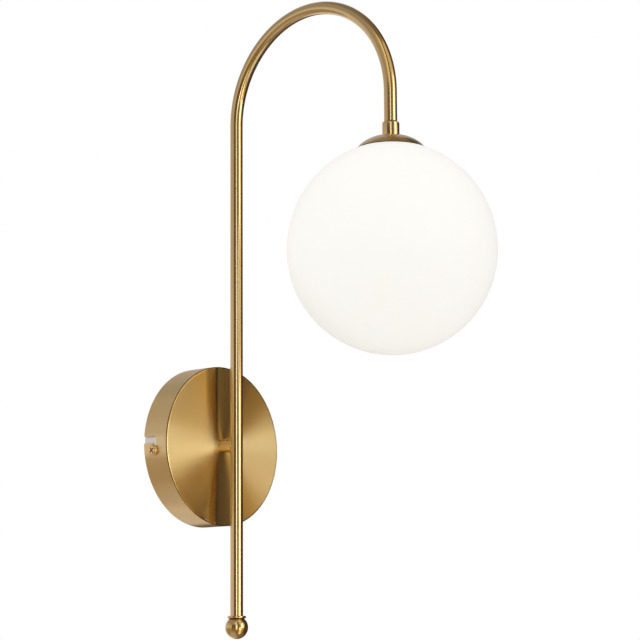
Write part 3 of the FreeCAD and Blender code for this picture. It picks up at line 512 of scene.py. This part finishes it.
def makeTube(a):
    # P(s, t) = C(s) + R (cos t x + sin t n(s)); C runs straight up, round half a circle and down
    up = np.arange(a["foot"], a["spring"], a["step"])
    turn = np.linspace(0, math.pi, a["bowSteps"])
    down = np.linspace(a["spring"], a["tip"], a["downSteps"])[1:]
    y = np.concatenate([a["y"] + 0 * up, a["y"] - a["bow"] * (1 - np.cos(turn)),
                        a["y"] - 2 * a["bow"] + 0 * down])
    z = np.concatenate([up, a["spring"] + a["bow"] * np.sin(turn), down])
    lean = np.concatenate([0 * up, turn, math.pi + 0 * down])
    y, z, lean = (np.concatenate([k[:1], k, k[-1:]]) for k in (y, z, lean))
    radius = np.full(len(y), a["radius"])
    radius[[0, -1]] = 0
    t = np.linspace(0, 2 * math.pi, a["sides"] + 1)
    out = radius[:, None] * np.sin(t)
    points = np.stack([radius[:, None] * np.cos(t), y[:, None] + np.cos(lean)[:, None] * out,
                       z[:, None] + np.sin(lean)[:, None] * out], -1) * mm
    length = np.concatenate([[0], np.cumsum(np.hypot(np.diff(y), np.diff(z)))]) * mm
    return surface(points, t / (2 * math.pi), length)


putPiece("bowed_tube", *makeTube(arm), "fixture", ["arm_tube"], "brushed_brass", tubeBrass)

post = {"radius": 5.5, "front": -31.1, "back": -24.0, "edge": 0.35, "backEdge": 0.05, "hole": 4.05,
        "sides": 96}
sleeve = softened([(post["hole"], post["back"], 0), (post["radius"], post["back"], post["backEdge"]),
                   (post["radius"], post["front"], post["edge"]), (post["hole"], post["front"], 0),
                   (post["hole"], post["back"], 0)])
putPiece("turned_post", *turned(sleeve, "Y", (0, 0, 0), post["sides"]), "fixture", ["post_sleeve"],
         "brushed_brass", postBrass)

saddle = {"radius": 5.3, "front": -36.3, "back": -31.1, "edge": 1.2, "backEdge": 0.35,
          "sink": 0.1, "cell": 0.15, "sides": 160}


def makeSaddle(s, tube):
    # a turned end whose points inside the tube move back to just under its skin, by s["sink"]:
    # y >= tubeY + sqrt((R - sink)^2 - x^2)
    profile = softened([(0, s["back"], 0), (s["radius"], s["back"], s["backEdge"]),
                        (s["radius"], s["front"], s["edge"]), (0, s["front"], 0)], steps=9)
    points, faces, uv = turned(spread(profile, s["cell"]), "Y", (0, 0, 0), s["sides"])
    inner = (tube["radius"] - s["sink"]) * mm
    skin = tube["y"] * mm + np.sqrt(np.maximum(inner ** 2 - points[:, 0] ** 2, 0))
    inside = np.abs(points[:, 0]) < inner
    points[:, 1] = np.where(inside, np.maximum(points[:, 1], skin), points[:, 1])
    return points, faces, uv


putPiece("post_saddle", *makeSaddle(saddle, arm), "fixture", ["tube_saddle"], "brushed_brass", postBrass)


# Ball at the tube's foot

finial = {"collar": 6.9, "collarTop": -126.8, "collarFoot": -128.7, "edge": 0.7, "ball": 8.5,
          "centre": -135.3, "hole": 2.05, "sides": 96}
collarProfile = softened([(finial["hole"], finial["collarFoot"], 0),
                          (finial["collar"], finial["collarFoot"], finial["edge"]),
                          (finial["collar"], finial["collarTop"], finial["edge"]),
                          (finial["hole"], finial["collarTop"], 0),
                          (finial["hole"], finial["collarFoot"], 0)], steps=9)
putPiece("ball_collar", *turned(collarProfile, "Z", (0, arm["y"], 0), finial["sides"]), "fixture",
         ["finial_collar"], "brushed_brass", tubeBrass)


def ballProfile(f, steps=64):
    # r = R sin a, h = c + R cos a, from the flat at the collar down to the foot
    top = math.acos((f["collarFoot"] - f["centre"]) / f["ball"])
    a = np.linspace(top, math.pi, steps)
    skin = np.stack([f["ball"] * np.sin(a), f["centre"] + f["ball"] * np.cos(a)], 1)
    return np.concatenate([[[0, f["collarFoot"]]], skin])


putPiece("polished_ball", *turned(ballProfile(finial), "Z", (0, arm["y"], 0), finial["sides"]), "fixture",
         ["finial_ball"], "brushed_brass", ballBrass)
print("arm done")


# Shade fittings

dropY = arm["y"] - 2 * arm["bow"]
capLow, capHigh = (corner.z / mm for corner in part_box("shade_cap"))
ferruleLow, ferruleHigh = (corner.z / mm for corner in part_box("tube_ferrule"))
ferrule = {"radius": 6.25, "chamfer": 1.35, "tube": 4.75, "stub": 3.95, "bore": 3.0, "boreRound": 0.1,
           "stubRound": 0.3, "footRound": 0.15, "sideRound": 0.5, "topRound": 0.2, "sides": 96}
ferruleProfile = softened([(ferrule["bore"], capHigh, 0),
                           (ferrule["bore"], ferruleLow, ferrule["boreRound"]),
                           (ferrule["stub"], ferruleLow, ferrule["stubRound"]),
                           (ferrule["stub"], capHigh, 0),
                           (ferrule["radius"], capHigh, ferrule["footRound"]),
                           (ferrule["radius"], ferruleHigh - ferrule["chamfer"], ferrule["sideRound"]),
                           (ferrule["radius"] - ferrule["chamfer"], ferruleHigh, ferrule["topRound"]),
                           (ferrule["tube"], ferruleHigh, 0), (ferrule["tube"], capHigh, 0),
                           (ferrule["bore"], capHigh, 0)])
putPiece("chamfered_ferrule", *turned(ferruleProfile, "Z", (0, dropY, 0), ferrule["sides"]), "fixture",
         ["tube_ferrule"], "brushed_brass", tubeBrass)

cap = {"radius": 24.5, "halfWidth": 27.0, "halfHeight": 17.0, "wall": 0.8, "hole": 4.05, "sides": 192}


def capProfile(c, steps=64):
    # the outside is an ellipse, r = a sin k and h = z + b cos k, and the inside the same less the wall
    flat = math.asin(ferrule["radius"] / c["halfWidth"])
    middle = capHigh - c["halfHeight"] * math.cos(flat)
    k = np.linspace(flat, math.asin(c["radius"] / c["halfWidth"]), steps)
    outside = np.stack([c["halfWidth"] * np.sin(k), middle + c["halfHeight"] * np.cos(k)], 1)
    a, b = c["halfWidth"] - c["wall"], c["halfHeight"] - c["wall"]
    seat = math.acos((capHigh - c["wall"] - middle) / b)
    k = np.linspace(math.acos((capLow - middle) / b), seat, steps)
    inside = np.stack([a * np.sin(k), middle + b * np.cos(k)], 1)
    hole = [[c["hole"], capHigh - c["wall"]], [c["hole"], capHigh]]
    return np.concatenate([hole[1:], outside, inside, hole])


putPiece("domed_cap", *turned(capProfile(cap), "Z", (0, dropY, 0), cap["sides"]), "fixture",
         ["shade_cap"], "brushed_brass", capBrass)

globe = {"radius": 75.0, "stretch": 2.2, "wall": 3.0, "mouth": 20.0, "lip": 0.8,
         "lipPoints": 4, "sides": 192}  # points of each skin that the rounded lip replaces
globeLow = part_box("opal_globe")[0].z / mm
globeCentre = globeLow + globe["radius"]


def globeProfile(g, steps=96):
    # r = R sin a, h = -R cos a below the middle and r = R cos a, h = (R + stretch) sin a above it;
    # the lip joins the two skins
    def skin(radius):
        rise = radius + g["stretch"]
        low = np.linspace(0, math.pi / 2, steps)
        high = np.linspace(0, math.acos(g["mouth"] / radius), steps)[1:]
        bowl = np.stack([radius * np.sin(low), -radius * np.cos(low)], 1)
        dome = np.stack([radius * np.cos(high), rise * np.sin(high)], 1)
        return np.concatenate([bowl, dome])

    outside = skin(g["radius"])
    inside = skin(g["radius"] - g["wall"])[::-1]
    n = g["lipPoints"]
    lip = softened([(*outside[-n], 0), (*outside[-1], g["lip"]), (*inside[0], g["lip"]),
                    (*inside[n - 1], 0)], steps=7)
    profile = np.concatenate([outside[:-n], lip, inside[n:]])
    return profile + [0, globeCentre]


putPiece("etched_globe", *turned(globeProfile(globe), "Z", (0, dropY, 0), globe["sides"]), "globe",
         ["opal_globe"], "opal_glass", opal)


# Canopy screws: pan heads with a cross recess

screw = {"shank": 2.0, "length": 10.0, "head": 4.0, "height": 2.6, "gap": 0.3, "round": 1.3,
         "footRound": 0.1, "tipRound": 0.3, "crossReach": 2.7, "crossHalf": 0.55, "crossDepth": 1.7,
         "crossTurn": 35.0, "crossSoft": 0.25, "crossFrom": 0.3, "cell": 0.12, "sides": 120}


def swung(a, b, degrees):
    # a' = a cos - b sin and b' = a sin + b cos
    c, s = math.cos(math.radians(degrees)), math.sin(math.radians(degrees))
    return a * c - b * s, a * s + b * c


def makeScrew(s, place):
    # a turned outline whose head, above crossFrom, sinks inside the cross by depth times a soft
    # edge; it stands in the end of its slot, at a place in degrees round the drum
    profile = softened([(0, s["height"], 0), (s["head"], s["height"], s["round"]),
                        (s["head"], 0, s["footRound"]), (s["shank"], 0, 0),
                        (s["shank"], -s["length"], s["tipRound"]), (0, -s["length"], 0)], steps=9)
    points, faces, uv = turned(spread(profile, s["cell"]), "X", (0, 0, 0), s["sides"])
    x, y, z = points.T / mm
    y, z = swung(y, z, -s["crossTurn"])
    bar = np.maximum(np.abs(y) - s["crossHalf"], np.abs(z) - s["crossReach"])
    crossbar = np.maximum(np.abs(z) - s["crossHalf"], np.abs(y) - s["crossReach"])
    depth = np.clip(-np.minimum(bar, crossbar) / s["crossSoft"], 0, 1)
    points[:, 0] -= np.where(x > s["crossFrom"], depth * s["crossDepth"], 0) * mm
    points += np.array([canopy["radius"] + s["gap"], -canopy["slotDepth"], 0]) * mm
    points[:, 0], points[:, 2] = swung(points[:, 0], points[:, 2], place)
    return points, faces, uv


left, right = makeScrew(screw, canopy["lock"] + 180), makeScrew(screw, canopy["lock"])
bothScrews = (np.concatenate([left[0], right[0]]), np.concatenate([left[1], right[1] + len(left[0])]),
              np.concatenate([left[2], right[2]]))
putPiece("canopy_screws", *bothScrews, "bracket", ["drum_screws"], "plain_brass", finishes["plain_brass"])
print("pieces made")


# Studio: pale floor, white room, one soft lamp, and boards that only the metal's reflections show

studio = {
    "aim": (0.0, -114.0, 90.0),  # mm, middle of the light
    "camera": 221.4,  # degrees from +X, heading of the camera as seen from the light
    "floorHeight": -450.0,  # mm
    "floorHalf": 6.0,  # m
    "floorTone": "#FAFAF8",
    "lamp": {"from": -60, "to": 60, "low": 20, "high": 80, "distance": 2.6, "strength": 0.15},
    "distance": 2.3,  # m, from the aim to each board
    "columns": 33, "rows": 17,  # points of each board
    # each board: from and to in degrees to the right of the camera, from and to in degrees above
    # level, tone, glow
    "boards": [
        ("strip board by the camera", -6, 8, -10, 5, "#F6F9FF", 2.7),
        ("upper part of the strip", -6, 8, 5, 22, "#F6F9FF", 1.8),
        ("head of the strip", -21, 8, 22, 60, "#F4E4C4", 1.2),
        ("foot of the strip", -6, 8, -30, -10, "#FFF2D4", 1.7),
        ("belt board on the right", 50, 76, -6, 5, "#F6F9FF", 3.8),
        ("upper part of the belt", 50, 76, 5, 30, "#F6F9FF", 2.7),
        ("head of the belt", 28, 80, 30, 60, "#E0D0AC", 1.1),
        ("bright foot of the belt", 28, 52, -30, -6, "#FFF0D0", 2.8),
        ("golden foot of the belt", 52, 80, -45, -6, "#DCB06C", 1.0),
        ("tan foot of the belt", 28, 52, -45, -30, "#F0D4A4", 1.6),
        ("grey board on the left", -140, -50, -10, 10, "#E4DAD4", 1.0),
        ("upper part of the left board", -140, -50, 10, 22, "#C8C0BC", 1.0),
        ("head of the left board", -140, -50, 22, 60, "#ACA49E", 1.0),
        ("foot of the left board", -140, -50, -45, -10, "#B09E88", 1.0),
        ("dark flag left of the strip", -50, -6, -10, 22, "#6A5638", 1.0),
        ("head of the left flag", -50, -21, 22, 60, "#C4AE8C", 1.0),
        ("foot of the left flag", -50, -6, -45, -10, "#9C8058", 1.0),
        ("brown flag under the strip", -6, 28, -45, -30, "#94744C", 1.0),
        ("dark flag right of the strip", 8, 28, -30, 60, "#6E6650", 1.0),
        ("grey flag by the belt", 28, 50, -6, 30, "#A8986A", 1.0),
        ("brown flag beyond the belt", 76, 95, -6, 3, "#80683C", 1.0),
        ("golden edge of the brown flag", 76, 95, 3, 30, "#FFD88C", 1.15),
        ("golden head of the brown flag", 80, 95, 30, 60, "#C8A468", 1.0),
        ("head of the dark flag", 95, 155, 30, 60, "#4C4238", 1.0),
        ("dark flag behind on the right", 95, 155, -6, 30, "#3E3A3A", 1.0),
        ("foot of the dark flag", 80, 155, -45, -6, "#544840", 1.0),
        ("brown board behind", 155, 188, -45, 22, "#66564A", 1.0),
        ("pale board behind", 188, 220, -45, 22, "#F4ECE4", 1.0),
        ("grey head of both", 155, 220, 22, 60, "#BCB8B8", 1.0),
        ("grey ceiling on the left", -180, 0, 60, 90, "#8C8680", 1.0),
        ("brown ceiling on the right", 0, 180, 60, 90, "#826E5A", 1.0),
        ("pale board below on the left", -180, -20, -90, -45, "#C8BCB8", 1.0),
        ("low foot of the belt", 28, 66, -72, -45, "#FFE8C0", 1.5),
        ("brown board below the strip", -20, 28, -90, -45, "#907C68", 1.0),
        ("brown board below the belt", 28, 66, -90, -72, "#907C68", 1.0),
        ("brown board below on the right", 66, 180, -90, -45, "#907C68", 1.0),
    ],
}


def onSphere(heading, rise, distance):
    # aim + distance (cos h cos r, sin h cos r, sin r), with h to the right of the camera and r up
    turn, tip = np.radians(studio["camera"] + heading), np.radians(rise)
    x, y = np.cos(turn) * np.cos(tip), np.sin(turn) * np.cos(tip)
    out = np.stack(np.broadcast_arrays(x, y, np.sin(tip)), -1)
    return np.array(studio["aim"]) * mm + out * distance


def addBoard(name, left, right, low, high, tone, glow):
    # a curved sheet round the light, seen in reflections only
    heading = np.linspace(left, right, studio["columns"])
    rise = np.linspace(low, high, studio["rows"])
    points = onSphere(heading[None], rise[:, None], studio["distance"])
    points, faces, _ = surface(points, heading, rise)
    material, tree = emptyMaterial(name)
    light = addNode(tree, "ShaderNodeEmission", {"Color": linear(tone), "Strength": glow})
    addNode(tree, "ShaderNodeOutputMaterial", links={"Surface": light.outputs[0]})
    board = putMesh(name, points, faces, material)
    board.visible_camera = False
    board.visible_diffuse = False
    board.visible_transmission = False
    board.visible_shadow = False


def addFloor(settings):
    # a level square, pale matt paint: plain, with the light's soft shadow
    paint, _, _ = newMaterial("pale floor paint", {"Base Color": linear(settings["floorTone"]),
                                                   "Roughness": 0.7})
    half, height = settings["floorHalf"], settings["floorHeight"] * mm
    corners = np.array([(-half, -half, height), (half, -half, height), (half, half, height),
                        (-half, half, height)])
    floor = putMesh("floor", corners, np.array([[0, 1, 2, 3]]), paint)
    floor.visible_glossy = False  # the metal shows the boards below instead


def addLamp(entry):
    # one broad soft lamp above the camera; energy = strength pi area, so its face shines at strength
    data = bpy.data.lights.new("soft lamp", "AREA")
    data.shape = "RECTANGLE"
    data.size = 2 * entry["distance"] * math.tan(math.radians(entry["to"] - entry["from"]) / 2)
    data.size_y = 2 * entry["distance"] * math.tan(math.radians(entry["high"] - entry["low"]) / 2)
    data.energy = entry["strength"] * math.pi * data.size * data.size_y
    lamp = bpy.data.objects.new("soft lamp", data)
    bpy.context.scene.collection.objects.link(lamp)
    middle = [(entry["from"] + entry["to"]) / 2, (entry["low"] + entry["high"]) / 2]
    place = Vector(onSphere(*middle, entry["distance"]))
    out = place - Vector(studio["aim"]) * mm
    lamp.matrix_world = Matrix.Translation(place) @ out.to_track_quat("Z", "Y").to_matrix().to_4x4()
    lamp.visible_camera = False
    lamp.visible_glossy = False


def addWorld():
    # white at strength 1, as background and as light on matt surfaces
    world = bpy.data.worlds.new("white room")
    world.use_nodes = True
    tree = world.node_tree
    tree.nodes.clear()
    white = addNode(tree, "ShaderNodeBackground", {"Color": (1, 1, 1, 1), "Strength": 1.0})
    addNode(tree, "ShaderNodeOutputWorld", links={"Surface": white.outputs[0]})
    bpy.context.scene.world = world


addFloor(studio)
for entry in studio["boards"]:
    addBoard(*entry)
addLamp(studio["lamp"])
addWorld()
bpy.context.scene.view_settings.view_transform = "Standard"
print("studio set")
